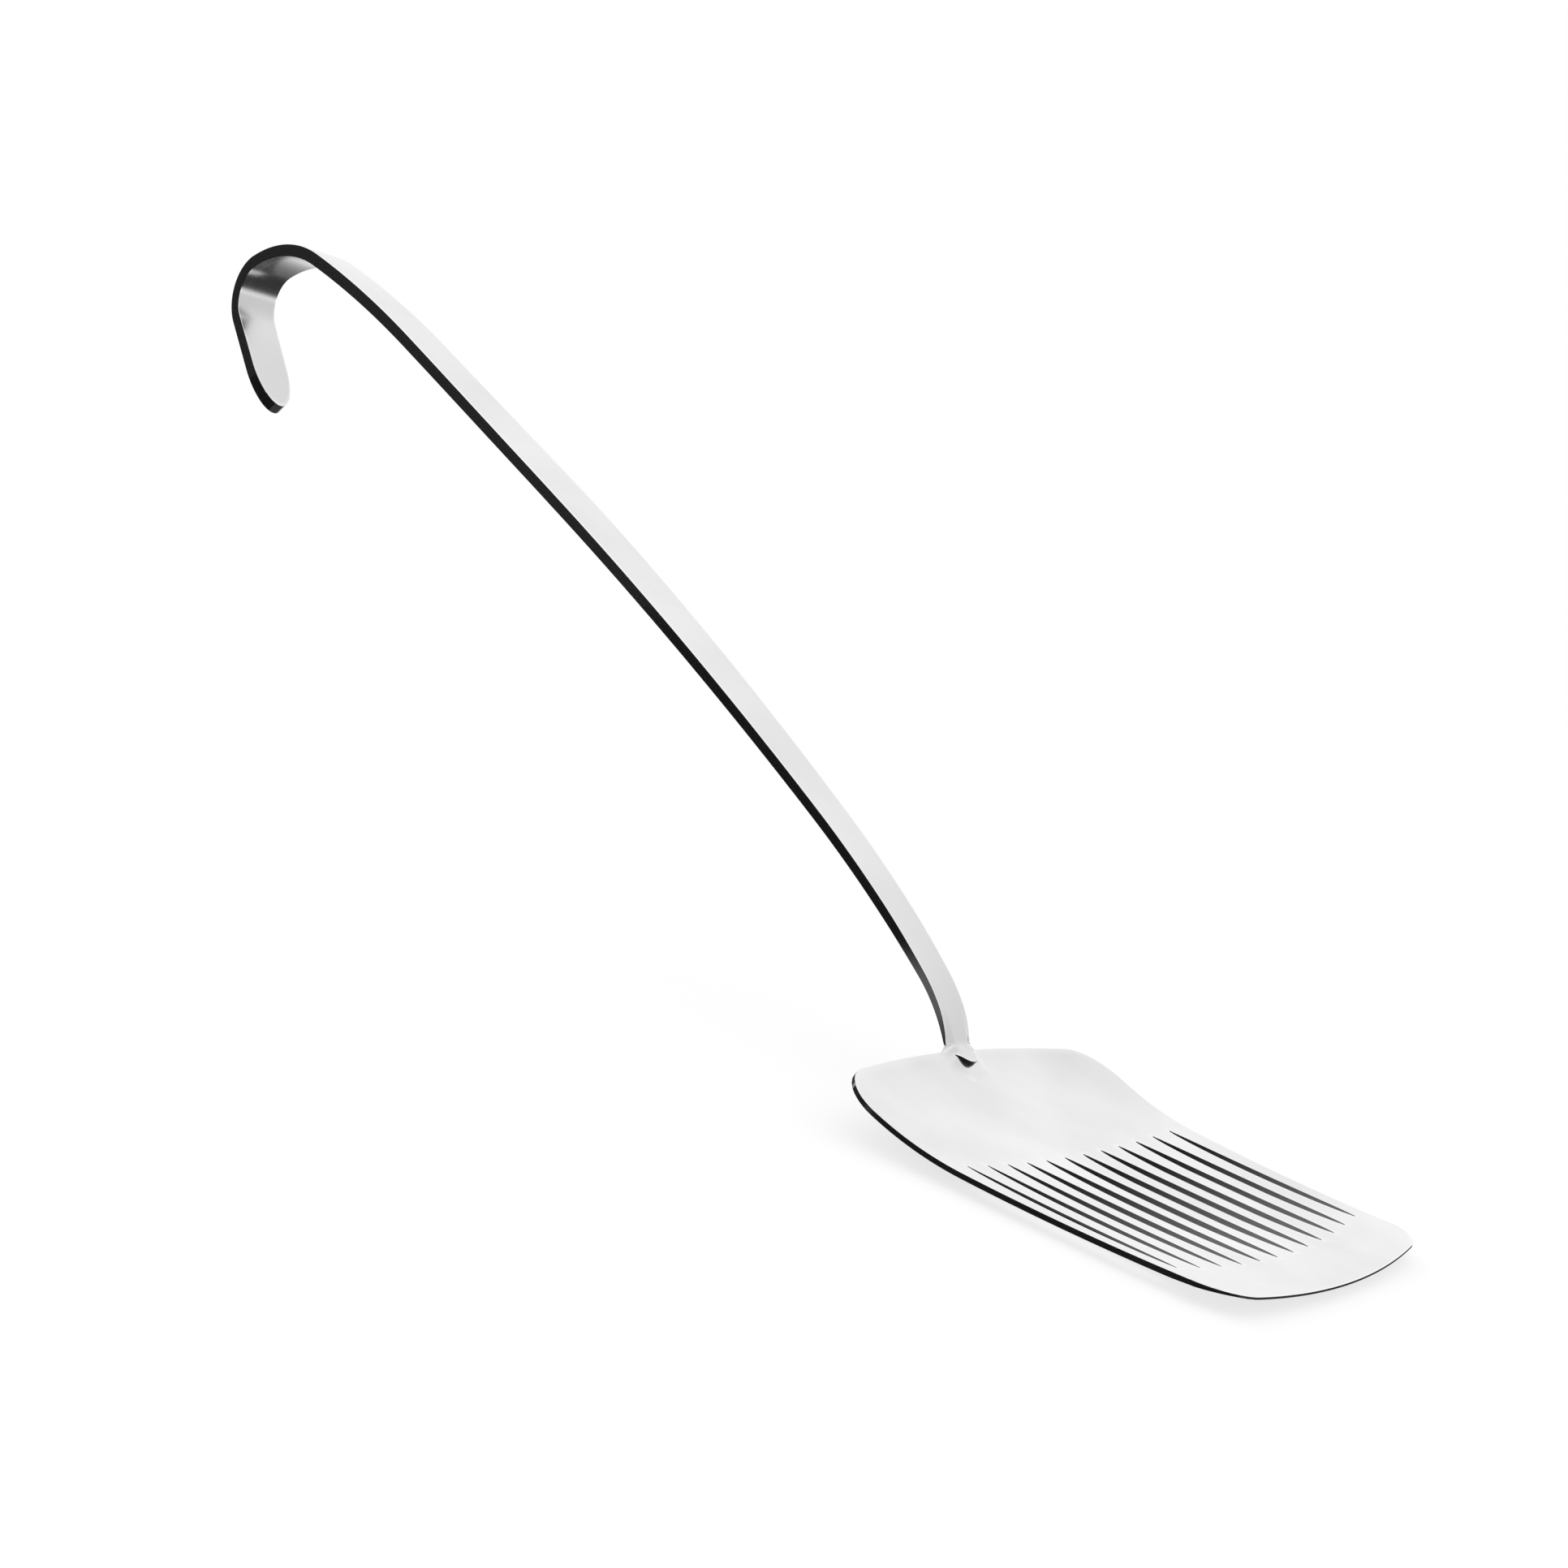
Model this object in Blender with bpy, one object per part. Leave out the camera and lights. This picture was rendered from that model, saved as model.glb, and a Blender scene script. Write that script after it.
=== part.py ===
# Slotted fish slice in stainless steel: a shallow dished blade, a hooked strip handle whose tongue lies on
# the blade's heel, and the two fillet welds that join them. X runs from the hook to the tip, Y across the
# blade, Z up. Sizes are in millimetres until a mesh is made. The origin is the middle of the box's base.

import math

import bmesh
import bpy
from mathutils import Vector
from mathutils.geometry import delaunay_2d_cdt

MM = 0.001

# Blade. Its x starts at the slots' heel ends, and its widths are measured on the level.
BLADE_THICKNESS = 1.15
HEEL_LENGTH = 34.1  # slots' heel ends back to the heel edge
TIP_LENGTH = 62.4  # slots' heel ends on to the tip edge
HEEL_HALF_WIDTH = 49.0  # at the heel edge, if the corner were sharp
TIP_HALF_WIDTH = 41.4  # at the tip edge, if the corner were sharp
HEEL_EDGE_RADIUS = 200.0
TIP_EDGE_RADIUS = 233.0
HEEL_CORNER_RADIUS = 11.0
TIP_CORNER_RADIUS = 10.0
DISH_RADIUS = 415.0  # the sheet is hollow from side to side
BOWL_RADIUS = 590.0  # and, less so, from end to end
BOWL_LOW = 22.0  # where it is lowest
HEEL_CURVE_RADIUS = 80.0  # it curls up towards the heel
HEEL_CURVE_START = 3.0
TIP_BEVEL_WIDTH = 3.0  # the tip is ground thin from below
TIP_BEVEL_START = 4.0  # along the sides, before the tip's corners begin
TIP_BEVEL_RUN_OUT = 13.0
TIP_EDGE_THICKNESS = 0.5

# Slots: long narrow ellipses, fanned with the blade's sides.
SLOT_COUNT = 12
SLOT_WIDTH = 3.7
SLOT_OUTER_NARROWING = 0.3
SLOT_HEEL_MARGIN = 6.4  # outer slot's middle line to the blade's side
SLOT_TIP_MARGIN = 4.1
SLOT_TO_TIP_EDGE = 13.6

# Handle: one strip, followed along its underside from the tongue to the hook's end.
TONGUE_LAP = 4.8
NECK_BEND_RADIUS = 4.0
NECK_BEND = 29.2
NECK_ARCH_RADIUS = 40.0
NECK_ARCH = 22.5
LOWER_ARCH_RADIUS = 354.0
LOWER_ARCH = 7.6
UPPER_ARCH_RADIUS = 1415.0
UPPER_ARCH = 5.5
GRIP_LENGTH = 70.0
CROWN_RADIUS = 429.0
CROWN = 7.5
HOOK_TOP_RADIUS = 41.9
HOOK_TOP = 44.0
HOOK_RADIUS = 10.0
HOOK = 103.9
LEG_LENGTH = 33.2
TONGUE_THICKNESS = 1.5
NECK_THICKNESS = 2.2  # of the strip's even taper, if it ran on to the tongue's end
END_THICKNESS = 4.2
NECK_THINNING = 40.0  # length over which the strip thins towards the tongue
TONGUE_WIDTH = 8.9
GRIP_WIDTH = 15.2
GRIP_WIDEST_BEFORE = 14.0  # the strip is widest this far below the straight grip
CROWN_WIDTH = 14.2
HOOK_WIDTH = 13.6
LEG_WIDTH = 12.6
EVEN_WIDENING = 0.7  # share of the widening up to the grip that is even, the rest eases in and out
TONGUE_ROUND_LENGTH = 7.0
LEG_ROUND_LENGTH = 15.0
STRIP_CHAMFER = 0.45

# Welds
WELD_GAP = 0.3  # clearance between pieces that are welded together
WELD_FOOT = 3.2
WELD_HEIGHT = 1.3
WELD_START = 0.8  # along the strip from the tongue's end
WELD_WASH = 5.5  # how far the weld climbs the strip beyond the heel edge
WELD_HOLLOW = 0.36  # the middle of its face, as a share of foot and height
WELD_FADE = 2.0  # how fast it runs out as it climbs
WELD_END_SIZE = 0.12

# Facets
BLADE_NET = 5.5
SIDE_STEPS = 16
CURVE_STEPS = 8
SLOT_STEPS = 22
WELD_STEPS = 10
STRIP_STEP = 11.0
STRIP_TURN_STEP = 8.0
END_FACET = 0.004  # where the strip's rounded ends stop short of a point, as a share of their length

STEEL = {
    "blade": (0.62, 0.63, 0.64, 0.24),
    "handle": (0.63, 0.63, 0.64, 0.22),
    "weld_bead_left": (0.60, 0.60, 0.60, 0.28),
    "weld_bead_right": (0.60, 0.60, 0.60, 0.28),
}


def clear_scene():
    for obj in list(bpy.data.objects):
        bpy.data.objects.remove(obj)


def steel(name):
    red, green, blue, roughness = STEEL[name]
    material = bpy.data.materials.new(name + "_steel")
    material.use_nodes = True
    shader = material.node_tree.nodes["Principled BSDF"]
    shader.inputs["Base Color"].default_value = (red, green, blue, 1.0)
    shader.inputs["Metallic"].default_value = 1.0
    shader.inputs["Roughness"].default_value = roughness
    return material


def smooth_step(value):
    value = min(1.0, max(0.0, value))
    return value * value * (3 - 2 * value)


def side_half_width(x):
    share = (x + HEEL_LENGTH) / (HEEL_LENGTH + TIP_LENGTH)
    return HEEL_HALF_WIDTH + share * (TIP_HALF_WIDTH - HEEL_HALF_WIDTH)


def tip_edge(y):
    return TIP_LENGTH - TIP_EDGE_RADIUS + math.sqrt(TIP_EDGE_RADIUS**2 - y * y)


def arc(centre, radius, start, end, count):
    points = []
    for step in range(count + 1):
        angle = start + (end - start) * step / count
        points.append(centre + radius * Vector((math.cos(angle), math.sin(angle))))
    return points


def angle_of(vector):
    return math.atan2(vector.y, vector.x)


def corner(edge_centre, edge_radius, radius, towards):
    # Centre of the rounding that touches an end edge from inside and the blade's straight side.
    start = Vector((-HEEL_LENGTH, HEEL_HALF_WIDTH))
    along = (Vector((TIP_LENGTH, TIP_HALF_WIDTH)) - start).normalized()
    inward = Vector((along.y, -along.x))
    offset = start + radius * inward - edge_centre
    half = along.dot(offset)
    root = math.sqrt(half * half - offset.length_squared + (edge_radius - radius) ** 2)
    centre = edge_centre + offset + (towards * root - half) * along
    on_side = centre - radius * inward
    on_edge = edge_centre + (centre - edge_centre).normalized() * edge_radius
    return centre, on_edge, on_side


def half_outline():
    # From the middle of the heel edge to the middle of the tip edge, on the +Y side.
    heel_centre = Vector((HEEL_EDGE_RADIUS - HEEL_LENGTH, 0.0))
    tip_centre = Vector((TIP_LENGTH - TIP_EDGE_RADIUS, 0.0))
    heel_round, heel_start, heel_end = corner(heel_centre, HEEL_EDGE_RADIUS, HEEL_CORNER_RADIUS, -1)
    tip_round, tip_end, tip_start = corner(tip_centre, TIP_EDGE_RADIUS, TIP_CORNER_RADIUS, 1)
    points = arc(heel_centre, HEEL_EDGE_RADIUS, math.pi, angle_of(heel_start - heel_centre), CURVE_STEPS)
    first = angle_of(heel_start - heel_round)
    last = angle_of(heel_end - heel_round)
    points += arc(heel_round, HEEL_CORNER_RADIUS, first, last, CURVE_STEPS)[1:]
    for step in range(1, SIDE_STEPS + 1):
        points.append(heel_end.lerp(tip_start, step / SIDE_STEPS))
    tip_from = len(points) - 1
    first = angle_of(tip_start - tip_round)
    last = angle_of(tip_end - tip_round)
    points += arc(tip_round, TIP_CORNER_RADIUS, first, last, CURVE_STEPS)[1:]
    points += arc(tip_centre, TIP_EDGE_RADIUS, angle_of(tip_end - tip_centre), 0.0, CURVE_STEPS)[1:]
    return points, tip_from


def outline():
    # The whole outline, and for each point how far the tip bevel has grown there.
    half, tip_from = half_outline()
    runs = [0.0]
    for before, point in zip(half, half[1:]):
        runs.append(runs[-1] + (point - before).length)
    start = runs[tip_from] - TIP_BEVEL_START
    growth = [smooth_step((run - start) / TIP_BEVEL_RUN_OUT) for run in runs]
    points = list(half)
    for index in range(len(half) - 2, 0, -1):
        points.append(Vector((half[index].x, -half[index].y)))
        growth.append(growth[index])
    return points, growth


def bevel_line(points, growth):
    # The bevel's inner line, from one side of the tip to the other.
    line = []
    for index, point in enumerate(points):
        if growth[index] > 0:
            run = points[(index + 1) % len(points)] - points[index - 1]
            inward = Vector((run.y, -run.x)).normalized()
            line.append(point + TIP_BEVEL_WIDTH * growth[index] * inward)
    return line


def slot_outline(number):
    place = number - (SLOT_COUNT - 1) / 2
    outermost = (SLOT_COUNT - 1) / 2
    heel_y = place / outermost * (side_half_width(0.0) - SLOT_HEEL_MARGIN)
    tip_side = side_half_width(TIP_LENGTH - SLOT_TO_TIP_EDGE) - SLOT_TIP_MARGIN
    tip_y = place / outermost * tip_side
    heel = Vector((0.0, heel_y))
    tip = Vector((tip_edge(tip_y) - SLOT_TO_TIP_EDGE, tip_y))
    half_width = SLOT_WIDTH / 2 * (1 - SLOT_OUTER_NARROWING * (place / outermost) ** 2)
    points = []
    for step in range(SLOT_STEPS):
        angle = 2 * math.pi * step / SLOT_STEPS
        middle = heel.lerp(tip, (1 - math.cos(angle)) / 2)
        points.append(middle + Vector((0.0, half_width * math.sin(angle))))
    return points


def inside(point, loop):
    found = False
    for index, end in enumerate(loop):
        start = loop[index - 1]
        if (start.y > point.y) != (end.y > point.y):
            crossing = start.x + (point.y - start.y) / (end.y - start.y) * (end.x - start.x)
            found = found != (point.x < crossing)
    return found


def inner_points(loop, keep_off):
    # A loose net of points on the curled heel and ahead of the slots, clear of every line.
    points = []
    rows = int((HEEL_LENGTH + TIP_LENGTH) / BLADE_NET)
    columns = int(max(HEEL_HALF_WIDTH, TIP_HALF_WIDTH) / BLADE_NET)
    for row in range(rows + 1):
        for column in range(-columns, columns + 1):
            across = (column + (row % 2) / 2) * BLADE_NET
            point = Vector((row * BLADE_NET - HEEL_LENGTH, across))
            if inside(point, loop) and min((point - line).length for line in keep_off) > BLADE_NET / 2:
                points.append(point)
    return points


def heel_curve_centre():
    rise = math.asin((BOWL_LOW - HEEL_CURVE_START) / BOWL_RADIUS)
    x = HEEL_CURVE_START + HEEL_CURVE_RADIUS * math.sin(rise)
    z = BOWL_RADIUS * (1 - math.cos(rise)) + HEEL_CURVE_RADIUS * math.cos(rise)
    return x, z


def blade_top(x, y):
    # The top face's point and normal: the bowl's long arc, the heel's curl that touches it, and the dish.
    if x < HEEL_CURVE_START:
        centre_x, centre_z = heel_curve_centre()
        rise = math.asin((centre_x - x) / HEEL_CURVE_RADIUS)
        height = centre_z - HEEL_CURVE_RADIUS * math.cos(rise)
    else:
        rise = math.asin((BOWL_LOW - x) / BOWL_RADIUS)
        height = BOWL_RADIUS * (1 - math.cos(rise))
    lean = math.asin(y / DISH_RADIUS)
    height += DISH_RADIUS * (1 - math.cos(lean))
    return Vector((x, y, height)), Vector((math.tan(rise), -math.tan(lean), 1.0)).normalized()


def build_blade():
    loop, growth = outline()
    bevel = bevel_line(loop, growth)
    slots = [slot_outline(number) for number in range(SLOT_COUNT)]
    flat = list(loop)
    edges = [(index, (index + 1) % len(loop)) for index in range(len(loop))]
    for slot in slots:
        first = len(flat)
        flat += slot
        edges += [(first + index, first + (index + 1) % len(slot)) for index in range(len(slot))]
    first = len(flat)
    flat += bevel
    edges += [(first + index, first + index + 1) for index in range(len(bevel) - 1)]
    flat += inner_points(loop, flat)
    corners, _, faces, sources, _, _ = delaunay_2d_cdt(flat, edges, [], 1, 1e-5)

    mesh = bmesh.new()
    upper = []
    lower = []
    for point, source in zip(corners, sources):
        place, normal = blade_top(point.x, point.y)
        thickness = BLADE_THICKNESS
        if source and source[0] < len(loop):
            thickness -= growth[source[0]] * (BLADE_THICKNESS - TIP_EDGE_THICKNESS)
        upper.append(mesh.verts.new(place))
        lower.append(mesh.verts.new(place - thickness * normal))
    rim = {}
    for face in faces:
        middle = (corners[face[0]] + corners[face[1]] + corners[face[2]]) / 3
        if any(inside(middle, slot) for slot in slots):
            continue
        mesh.faces.new([upper[index] for index in face])
        mesh.faces.new([lower[index] for index in reversed(face)])
        for index, start in enumerate(face):
            end = face[(index + 1) % 3]
            if (end, start) in rim:
                del rim[(end, start)]
            else:
                rim[(start, end)] = True
    for start, end in rim:
        mesh.faces.new([upper[end], upper[start], lower[start], lower[end]])
    return mesh


def handle_segments():
    lap = math.degrees(TONGUE_LAP / (HEEL_CURVE_RADIUS - WELD_GAP))
    bends = (
        (NECK_BEND_RADIUS, NECK_BEND),
        (NECK_ARCH_RADIUS, -NECK_ARCH),
        (LOWER_ARCH_RADIUS, -LOWER_ARCH),
        (UPPER_ARCH_RADIUS, -UPPER_ARCH),
        None,
        (CROWN_RADIUS, -CROWN),
        (HOOK_TOP_RADIUS, -HOOK_TOP),
        (HOOK_RADIUS, -HOOK),
    )
    segments = [(TONGUE_LAP, lap)]
    for bend in bends:
        if bend is None:
            segments.append((GRIP_LENGTH, 0.0))
        else:
            radius, turn = bend
            segments.append((radius * math.radians(abs(turn)), turn))
    segments.append((LEG_LENGTH, 0.0))
    return segments


def handle_length():
    return sum(length for length, turn in handle_segments())


def grip_start():
    return sum(length for length, turn in handle_segments()[:5])


def handle_place(run):
    # The underside's point, and the normal that runs up through the strip, this far from the tongue's end.
    radius = HEEL_CURVE_RADIUS - WELD_GAP
    centre_x, centre_z = heel_curve_centre()
    segments = handle_segments()
    rise = math.asin((HEEL_LENGTH + centre_x) / HEEL_CURVE_RADIUS) - math.radians(segments[0][1])
    x = centre_x - radius * math.sin(rise)
    z = centre_z - radius * math.cos(rise)
    left = run
    for length, turn in segments:
        part = min(left, length)
        bend = math.radians(turn) * part / length
        chord = part
        if abs(bend) > 1e-9:
            chord = part * math.sin(bend / 2) / (bend / 2)
        x -= chord * math.cos(rise + bend / 2)
        z += chord * math.sin(rise + bend / 2)
        rise += bend
        left -= part
        if left <= 0:
            break
    return Vector((x, 0.0, z)), Vector((math.sin(rise), 0.0, math.cos(rise)))


def strip_width(run):
    # A smooth curve through five widths, with rounded ends.
    total = handle_length()
    hook = total - LEG_LENGTH - HOOK_RADIUS * math.radians(HOOK)
    stations = (
        (0.0, TONGUE_WIDTH),
        (grip_start() - GRIP_WIDEST_BEFORE, GRIP_WIDTH),
        (grip_start() + GRIP_LENGTH, CROWN_WIDTH),
        (hook, HOOK_WIDTH),
        (total, LEG_WIDTH),
    )
    width = LEG_WIDTH
    for index in range(len(stations) - 1):
        start, from_width = stations[index]
        end, to_width = stations[index + 1]
        if start <= run <= end:
            share = (run - start) / (end - start)
            if index == 0:
                eased = math.sin(share * math.pi / 2) ** 2
                share = EVEN_WIDENING * share + (1 - EVEN_WIDENING) * eased
            else:
                share = smooth_step(share)
            width = from_width + share * (to_width - from_width)
    if run < TONGUE_ROUND_LENGTH:
        width *= math.sqrt(1 - ((TONGUE_ROUND_LENGTH - run) / TONGUE_ROUND_LENGTH) ** 2)
    if run > total - LEG_ROUND_LENGTH:
        width *= math.sqrt(max(0.0, 1 - ((run - total + LEG_ROUND_LENGTH) / LEG_ROUND_LENGTH) ** 2))
    return width


def strip_thickness(run):
    taper = NECK_THICKNESS + (END_THICKNESS - NECK_THICKNESS) * run / handle_length()
    return TONGUE_THICKNESS + (taper - TONGUE_THICKNESS) * smooth_step(run / NECK_THINNING)


def handle_runs():
    total = handle_length()
    runs = [END_FACET * TONGUE_ROUND_LENGTH]
    for step in range(1, CURVE_STEPS + 1):
        runs.append(TONGUE_ROUND_LENGTH * (1 - math.cos(math.pi / 2 * step / CURVE_STEPS)))
    start = 0.0
    for length, turn in handle_segments():
        count = max(math.ceil(length / STRIP_STEP), math.ceil(abs(turn) / STRIP_TURN_STEP))
        for step in range(1, count + 1):
            run = start + length * step / count
            if TONGUE_ROUND_LENGTH + STRIP_CHAMFER < run < total - LEG_ROUND_LENGTH - STRIP_CHAMFER:
                runs.append(run)
        start += length
    for step in range(CURVE_STEPS):
        runs.append(total - LEG_ROUND_LENGTH * (1 - math.sin(math.pi / 2 * step / CURVE_STEPS)))
    runs.append(total - END_FACET * LEG_ROUND_LENGTH)
    return runs


def lofted(rings):
    # A closed body through rings of equally many points.
    mesh = bmesh.new()
    rows = [[mesh.verts.new(point) for point in ring] for ring in rings]
    for row, following in zip(rows, rows[1:]):
        for index in range(len(row)):
            after = (index + 1) % len(row)
            mesh.faces.new([row[index], row[after], following[after], following[index]])
    mesh.faces.new(list(reversed(rows[0])))
    mesh.faces.new(rows[-1])
    return mesh


def build_handle():
    rings = []
    for run in handle_runs():
        place, normal = handle_place(run)
        across = Vector((0.0, strip_width(run) / 2, 0.0))
        thickness = strip_thickness(run)
        chamfer = min(STRIP_CHAMFER, across.y / 3)
        inset = Vector((0.0, chamfer, 0.0))
        ring = []
        for side in (1, -1):
            edge = place + side * across
            heights = ((side * inset, 0.0), (Vector(), chamfer))
            heights += ((Vector(), thickness - chamfer), (side * inset, thickness))
            points = [edge - shift + height * normal for shift, height in heights]
            ring += points if side == 1 else list(reversed(points))
        rings.append(ring)
    return lofted(rings)


def weld_size(run):
    # It grows along the tongue up to the heel edge, then runs out up the neck.
    if run < TONGUE_LAP:
        share = (run - WELD_START) / (TONGUE_LAP - WELD_START)
    else:
        share = (1 - (run - TONGUE_LAP) / WELD_WASH) ** WELD_FADE
    return WELD_END_SIZE + (1 - WELD_END_SIZE) * share


def build_weld(side):
    # A hollow fillet in the corner between the tongue's side and the blade.
    end = TONGUE_LAP + WELD_WASH
    rings = []
    for step in range(WELD_STEPS + 1):
        share = step / WELD_STEPS
        run = WELD_START + (end - WELD_START) * share
        place, normal = handle_place(run)
        inner = strip_width(run) / 2 + WELD_GAP
        foot = WELD_FOOT * weld_size(run)
        height = WELD_HEIGHT * weld_size(run)
        hollow = (WELD_HOLLOW * foot, WELD_HOLLOW * height)
        profile = ((0.0, 0.0), (foot, 0.0), hollow, (0.0, height))
        rings.append([place + Vector((0.0, side * (inner + out), 0.0)) + up * normal for out, up in profile])
    return lofted(rings)


def finish(pieces):
    # Moves everything so that the origin is the middle of the base, then makes one object of each piece.
    points = [vert.co for mesh in pieces.values() for vert in mesh.verts]
    lows = [min(point[axis] for point in points) for axis in range(3)]
    highs = [max(point[axis] for point in points) for axis in range(3)]
    shift = Vector((-(lows[0] + highs[0]) / 2, -(lows[1] + highs[1]) / 2, -lows[2]))
    for name, mesh in pieces.items():
        for vert in mesh.verts:
            vert.co = (vert.co + shift) * MM
        bmesh.ops.triangulate(mesh, faces=[face for face in mesh.faces if len(face.verts) > 4])
        bmesh.ops.recalc_face_normals(mesh, faces=mesh.faces)
        data = bpy.data.meshes.new(name)
        mesh.to_mesh(data)
        mesh.free()
        data.materials.append(steel(name))
        bpy.context.collection.objects.link(bpy.data.objects.new(name, data))


clear_scene()
finish(
    {
        "blade": build_blade(),
        "handle": build_handle(),
        "weld_bead_left": build_weld(1),
        "weld_bead_right": build_weld(-1),
    }
)
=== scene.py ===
import math

import bmesh
import bpy
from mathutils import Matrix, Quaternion, Vector


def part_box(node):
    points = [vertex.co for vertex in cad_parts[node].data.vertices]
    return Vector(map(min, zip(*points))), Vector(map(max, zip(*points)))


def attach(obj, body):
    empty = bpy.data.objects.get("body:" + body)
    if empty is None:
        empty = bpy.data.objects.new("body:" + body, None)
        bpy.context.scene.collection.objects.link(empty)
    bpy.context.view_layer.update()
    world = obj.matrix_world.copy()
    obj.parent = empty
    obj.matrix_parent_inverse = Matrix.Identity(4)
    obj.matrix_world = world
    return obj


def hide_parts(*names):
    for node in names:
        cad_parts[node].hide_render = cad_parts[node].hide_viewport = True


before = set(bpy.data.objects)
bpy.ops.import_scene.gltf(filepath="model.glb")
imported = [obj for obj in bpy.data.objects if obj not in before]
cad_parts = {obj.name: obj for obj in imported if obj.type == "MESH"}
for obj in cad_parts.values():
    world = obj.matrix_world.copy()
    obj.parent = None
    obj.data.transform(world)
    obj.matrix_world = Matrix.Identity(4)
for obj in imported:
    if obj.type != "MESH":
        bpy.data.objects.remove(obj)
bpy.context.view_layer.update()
mm = 0.001  # every size below is in millimetres
tiny = 1e-9  # keeps a division from zero
scene = bpy.context.scene
scene.view_settings.view_transform = "Standard"
print("frame:", ", ".join(sorted(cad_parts)))


def mix(start, end, share):
    return start + (end - start) * share


def ease(share):
    share = min(1.0, max(0.0, share))
    return share * share * (3 - 2 * share)


def makePiece(name, mesh, material):
    data = bpy.data.meshes.new(name)
    mesh.to_mesh(data)
    mesh.free()
    data.shade_smooth()
    data.materials.append(material)
    piece = bpy.data.objects.new(name, data)
    scene.collection.objects.link(piece)
    return piece


# Camera, matched to the photograph's perspective
photoCamera = {
    "place": Vector((332.31, -339.66, 111.01)),
    "aim": Vector((3.45, 57.67, 44.87)),
    "roll": 13.88,
    "lens": 42.857,
    "sensor": 36.0,
    "clipStart": 10.0,
}


def makeCamera(rig):
    data = bpy.data.cameras.new("photoCamera")
    data.lens = rig["lens"]
    data.sensor_width = rig["sensor"]
    data.clip_start = rig["clipStart"] * mm
    camera = bpy.data.objects.new("photoCamera", data)
    level = (rig["place"] - rig["aim"]).to_track_quat("Z", "Y")
    camera.rotation_mode = "QUATERNION"
    camera.rotation_quaternion = level @ Quaternion((0, 0, 1), math.radians(rig["roll"]))
    camera.location = rig["place"] * mm
    scene.collection.objects.link(camera)
    scene.camera = camera


makeCamera(photoCamera)
print("camera set")


# Finishes
def addNode(tree, kind, place, **settings):
    node = tree.nodes.new(kind)
    node.location = place
    for name, value in settings.items():
        setattr(node, name, value)
    return node


def addRange(tree, place, span, result, **settings):
    # a Map Range node that turns one span of values into another
    node = addNode(tree, "ShaderNodeMapRange", place, **settings)
    for socket, value in zip(("From Min", "From Max", "To Min", "To Max"), (*span, *result)):
        node.inputs[socket].default_value = value
    return node


def makeSteelGrain():
    # soft clouds in the polish, and fine lines that run along the vector's first axis
    group = bpy.data.node_groups.new("steelGrain", "ShaderNodeTree")
    face = group.interface
    face.new_socket("Vector", in_out="INPUT", socket_type="NodeSocketVector")
    for name, value in (("Cloud Size", 40.0), ("Line Size", 900.0), ("Line Length", 12.0)):
        face.new_socket(name, in_out="INPUT", socket_type="NodeSocketFloat").default_value = value
    for name in ("Clouds", "Lines"):
        face.new_socket(name, in_out="OUTPUT", socket_type="NodeSocketFloat")
    start = addNode(group, "NodeGroupInput", (-800, 0))
    end = addNode(group, "NodeGroupOutput", (500, 0))
    clouds = addNode(group, "ShaderNodeTexNoise", (-200, 200))
    clouds.inputs["Detail"].default_value = 3.0
    clouds.inputs["Roughness"].default_value = 0.45
    scale = addNode(group, "ShaderNodeCombineXYZ", (-600, -200))
    stretch = addNode(group, "ShaderNodeVectorMath", (-400, -150), operation="MULTIPLY")
    lines = addNode(group, "ShaderNodeTexNoise", (-200, -150))
    lines.inputs["Scale"].default_value = 1.0
    lines.inputs["Detail"].default_value = 4.0
    lines.inputs["Roughness"].default_value = 0.6
    link = group.links.new
    link(start.outputs["Vector"], clouds.inputs["Vector"])
    link(start.outputs["Cloud Size"], clouds.inputs["Scale"])
    link(start.outputs["Line Length"], scale.inputs["X"])
    link(start.outputs["Line Size"], scale.inputs["Y"])
    link(start.outputs["Line Size"], scale.inputs["Z"])
    link(start.outputs["Vector"], stretch.inputs[0])
    link(scale.outputs["Vector"], stretch.inputs[1])
    link(stretch.outputs["Vector"], lines.inputs["Vector"])
    link(clouds.outputs["Fac"], end.inputs["Clouds"])
    link(lines.outputs["Fac"], end.inputs["Lines"])
    return group


steelGrain = makeSteelGrain()

bladeFinish = {
    "noiseSpan": (0.3, 0.7),  # the noise's usual least and most
    "shade": (0.785, 0.905),  # darkest and lightest of the clouds
    "wearAndHighlightShade": 0.97,  # worn smooth, and painted lighter as a highlight, where the piece's edge attribute is 1
    "rimGloss": 0.05,
    "seamFrom": 0.8,  # its seam attribute darkens it from here to 1
    "seamShade": 0.03,
    "gloss": (0.10, 0.15),
    "cloudSize": 38.0,
    "lineSize": 1500.0,
    "lineLength": 18.0,
    "lineDepth": 0.02,
    "lineHeight": 0.05,
    "coordinate": "UV",
}
handleFinish = dict(bladeFinish, shade=(0.765, 0.865), gloss=(0.2, 0.28), cloudSize=26.0)
weldFinish = dict(bladeFinish, shade=(0.82, 0.90), gloss=(0.14, 0.22), cloudSize=160.0, lineDepth=0.05)
weldFinish["coordinate"] = "Object"


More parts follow.
